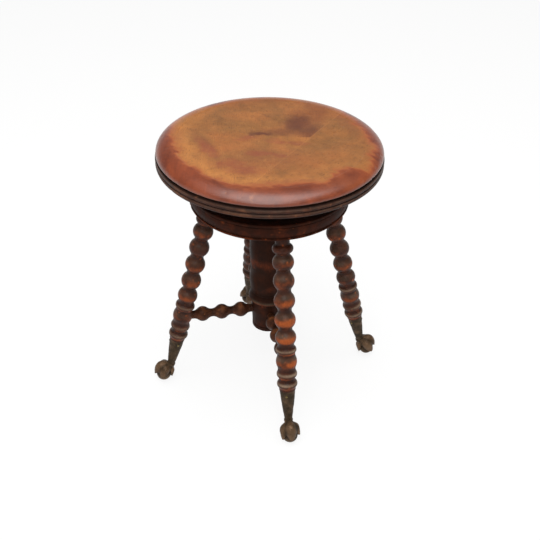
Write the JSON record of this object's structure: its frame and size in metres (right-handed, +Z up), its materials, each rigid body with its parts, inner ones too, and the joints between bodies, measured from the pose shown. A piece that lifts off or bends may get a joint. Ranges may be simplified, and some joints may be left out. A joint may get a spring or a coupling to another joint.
{
  "type": "revolving piano stool",
  "caption": "Round wooden seat that turns up and down on a screw, over turned splayed legs with turned stretchers to a central hub and metal claw feet on balls.",
  "frame": {"origin": "on the floor, under the middle of the seat", "axes": "+Z up along the lift screw; -Y towards the front leg; +X to the right leg"},
  "size_m": [0.4228, 0.4228, 0.4693],
  "materials": {
    "seat_wood": "worn shellac over stained hardwood",
    "crown_wood": "dark old varnish",
    "hub_wood": "dark old varnish, worn on the swells",
    "leg_wood": "dark old varnish, worn to the wood",
    "stretcher_wood": "dark old varnish, scuffed",
    "cast_foot": "tarnished casting",
    "cast_ball": "tarnished casting, rubbed below",
    "black_iron": "dark casting",
    "greased_steel": "turned and greased",
    "screw_steel": "dull",
    "nail_brass": "dull, rubbed bright"
  },
  "bodies": {
    "base": {"crown": "crown_wood", "hub": "hub_wood", "lift_nut": "black_iron", "nut_screws": "screw_steel", "leg_front": "leg_wood", "leg_right": "leg_wood", "leg_back": "leg_wood", "leg_left": "leg_wood", "stretcher_front": "stretcher_wood", "stretcher_back": "stretcher_wood", "stretcher_left": "stretcher_wood", "foot_front": "cast_foot", "foot_right": "cast_foot", "foot_back": "cast_foot", "foot_left": "cast_foot", "ball_front": "cast_ball", "ball_right": "cast_ball", "ball_back": "cast_ball", "ball_left": "cast_ball", "foot_nails": "nail_brass"},
    "lift": {"stop_washer": "black_iron"},
    "seat": {"seat_top": "seat_wood", "seat_spider": "black_iron", "spider_screws": "screw_steel", "lift_screw": "greased_steel", "screw_pin": "screw_steel", "washer_pin": "screw_steel"}
  },
  "joints": [
    {"name": "seat_height", "type": "slide", "parent": "base", "child": "lift", "axis": [0, 0, 1], "range_m": [-0.012, 0.1]},
    {"name": "seat_turn", "type": "hinge", "parent": "lift", "child": "seat", "pos_m": [0, 0, 0.4], "axis": [0, 0, 1], "range_deg": [-540, 4500]}
  ],
  "couplings": [
    {"joint": "seat_height", "follows": "seat_turn", "m_per_rad": 0.0012732}
  ]
}
